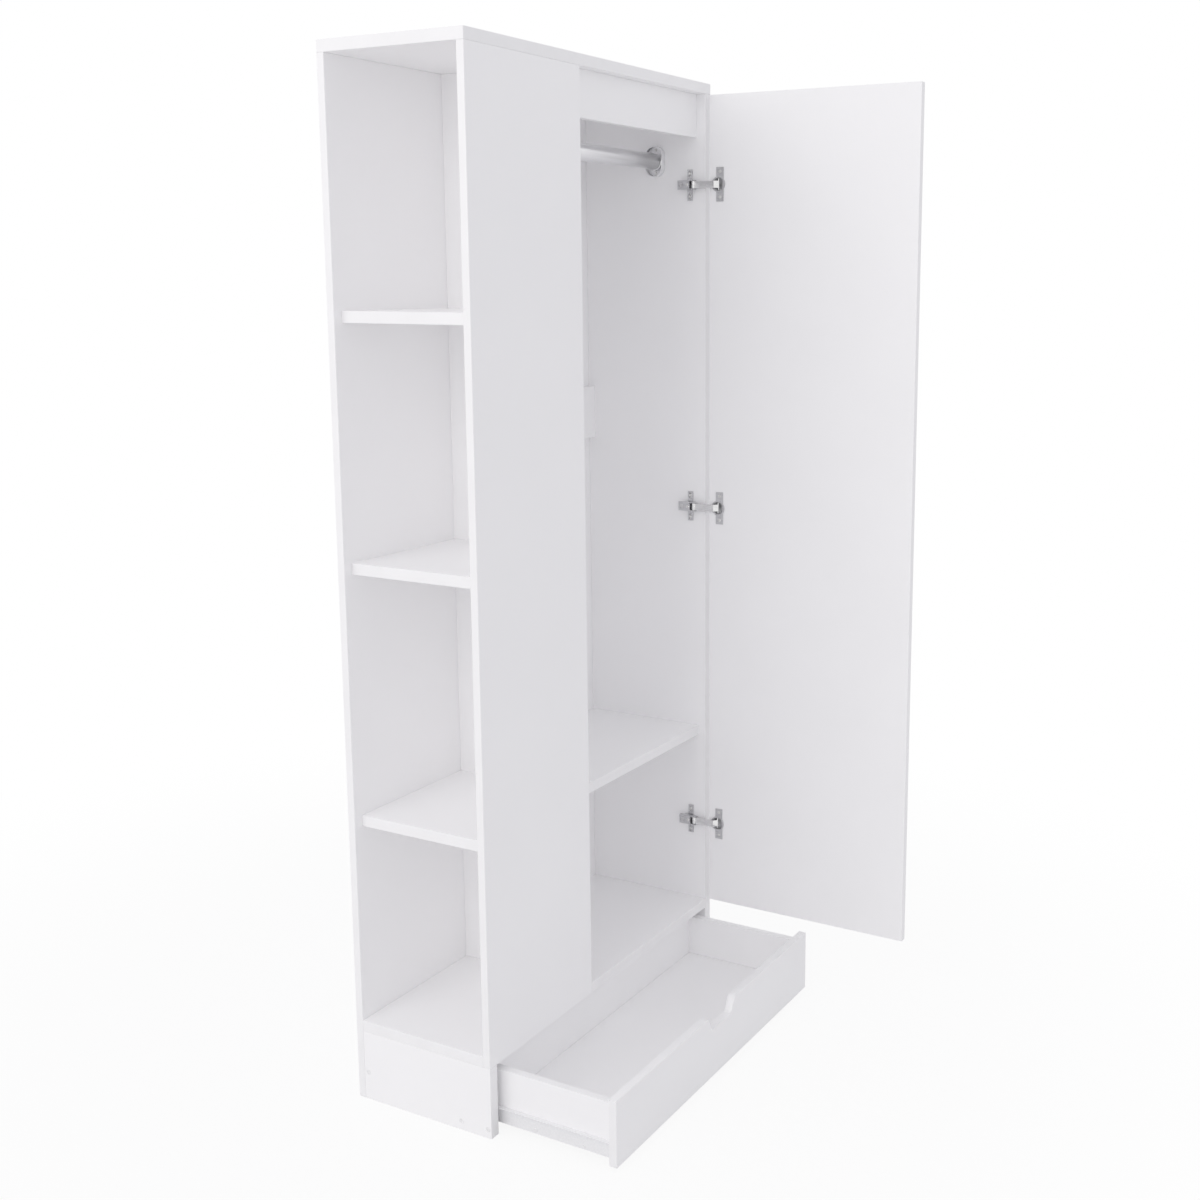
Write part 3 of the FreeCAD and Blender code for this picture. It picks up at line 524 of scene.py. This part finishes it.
def makeFloor(sizes):
    reach = sizes["floor"]
    mesh = bpy.data.meshes.new("floor")
    mesh.from_pydata([(-reach, -reach, 0), (reach, -reach, 0), (reach, reach, 0), (-reach, reach, 0)], [],
                     [(0, 1, 2, 3)])
    floor = bpy.data.objects.new("floor", mesh)
    bpy.context.collection.objects.link(floor)
    floor.location.z = -sizes["drop"]
    paint, tree, shader = newMaterial("floorPaint")
    shader.inputs["Base Color"].default_value = (*sizes["floorColour"], 1)
    shader.inputs["Roughness"].default_value = sizes["floorRough"]
    shader.inputs["Specular IOR Level"].default_value = 0.0
    # seen directly or in gloss, the floor fades to white away from the object
    glow = addNode(tree, "ShaderNodeEmission", {"Color": plainWhite, "Strength": 1.0})
    blend = addNode(tree, "ShaderNodeMixShader")
    path = addNode(tree, "ShaderNodeLightPath")
    seen = addNode(tree, "ShaderNodeMath", operation="MAXIMUM")
    spot = addNode(tree, "ShaderNodeTexCoord").outputs["Object"]
    away = addNode(tree, "ShaderNodeVectorMath", operation="LENGTH")
    fade = addNode(tree, "ShaderNodeMapRange",
                   {"From Min": sizes["near"], "From Max": sizes["far"],
                    "To Min": sizes["glow"], "To Max": 1.0}, interpolation_type="SMOOTHSTEP")
    share = addNode(tree, "ShaderNodeMath", operation="MULTIPLY")
    link = tree.links.new
    link(spot, away.inputs[0])
    link(away.outputs["Value"], fade.inputs["Value"])
    link(fade.outputs["Result"], share.inputs[1])
    link(path.outputs["Is Camera Ray"], seen.inputs[0])
    link(path.outputs["Is Glossy Ray"], seen.inputs[1])
    link(seen.outputs[0], share.inputs[0])
    link(share.outputs[0], blend.inputs[0])
    link(shader.outputs[0], blend.inputs[1])
    link(glow.outputs[0], blend.inputs[2])
    link(blend.outputs[0], tree.nodes["Material Output"].inputs["Surface"])
    mesh.materials.append(paint)


worldLight = {"colour": (0.97, 0.965, 1.0), "strength": 0.825}


def makeWorld(setting):
    world = bpy.data.worlds.new("studio")
    bpy.context.scene.world = world
    world.use_nodes = True
    tree = world.node_tree
    ambient = tree.nodes["Background"]
    ambient.inputs["Color"].default_value = (*setting["colour"], 1)
    ambient.inputs["Strength"].default_value = setting["strength"]
    # seen directly, in gloss or through glass, the world is white
    backdrop = addNode(tree, "ShaderNodeBackground", {"Color": plainWhite, "Strength": 1.0})
    chooser = addNode(tree, "ShaderNodeMixShader")
    path = addNode(tree, "ShaderNodeLightPath")
    direct = addNode(tree, "ShaderNodeMath", operation="MAXIMUM")
    clear = addNode(tree, "ShaderNodeMath", operation="MAXIMUM")
    link = tree.links.new
    link(path.outputs["Is Camera Ray"], direct.inputs[0])
    link(path.outputs["Is Glossy Ray"], direct.inputs[1])
    link(direct.outputs[0], clear.inputs[0])
    link(path.outputs["Is Transmission Ray"], clear.inputs[1])
    link(clear.outputs[0], chooser.inputs[0])
    link(ambient.outputs[0], chooser.inputs[1])
    link(backdrop.outputs[0], chooser.inputs[2])
    link(chooser.outputs[0], tree.nodes["World Output"].inputs["Surface"])


softbox = {"name": "leftSoftbox", "place": (-4.2, 0.5, 2.9), "aim": (0.0, -0.3, 1.1), "size": 3.4,
           "power": 48.0, "colour": (1.0, 0.985, 0.955)}


def makeLamp(setting):
    light = bpy.data.lights.new(setting["name"], "AREA")
    light.size = setting["size"]
    light.energy = setting["power"]
    light.color = setting["colour"]
    holder = bpy.data.objects.new(setting["name"], light)
    holder.location = setting["place"]
    aim = Vector(setting["aim"]) - Vector(setting["place"])
    holder.rotation_euler = aim.to_track_quat("-Z", "Y").to_euler()
    bpy.context.collection.objects.link(holder)


makeFloor(stageSizes)
makeWorld(worldLight)
makeLamp(softbox)
print("stage and lamp set")

# camera at the photograph's viewing angle, on a frame of 1200 by 1200
cameraView = {"yaw": 1.07603, "pitch": 0.16889, "roll": 0.00169, "place": (-2.47735, -1.90825, 1.58579),
              "focal": 1490.406, "centre": (718.107, 534.701), "frame": 1200.0, "sensor": 36.0, "far": 100.0}


def makeCamera(setting):
    yaw, pitch, roll = setting["yaw"], setting["pitch"], setting["roll"]
    frameSize = setting["frame"]
    forward = Vector((math.sin(yaw) * math.cos(pitch), math.cos(yaw) * math.cos(pitch), -math.sin(pitch)))
    level = Vector((math.cos(yaw), -math.sin(yaw), 0.0))
    rise = level.cross(forward)
    right = level * math.cos(roll) + rise * math.sin(roll)
    up = rise * math.cos(roll) - level * math.sin(roll)
    data = bpy.data.cameras.new("photoCamera")
    data.sensor_width = setting["sensor"]
    data.lens = setting["focal"] / frameSize * setting["sensor"]
    data.shift_x = (frameSize / 2 - setting["centre"][0]) / frameSize
    data.shift_y = (setting["centre"][1] - frameSize / 2) / frameSize
    data.clip_end = setting["far"]
    camera = bpy.data.objects.new("photoCamera", data)
    turn = Matrix((right, up, -forward)).transposed().to_4x4()
    camera.matrix_world = Matrix.Translation(setting["place"]) @ turn
    bpy.context.collection.objects.link(camera)
    bpy.context.scene.camera = camera


makeCamera(cameraView)
lightBounces = {"all": 16, "diffuse": 12}  # white boards pass light deep into the bays
bpy.context.scene.view_settings.view_transform = "Standard"
bpy.context.scene.cycles.max_bounces = lightBounces["all"]
bpy.context.scene.cycles.diffuse_bounces = lightBounces["diffuse"]
print("camera set")

bpy.context.view_layer.update()
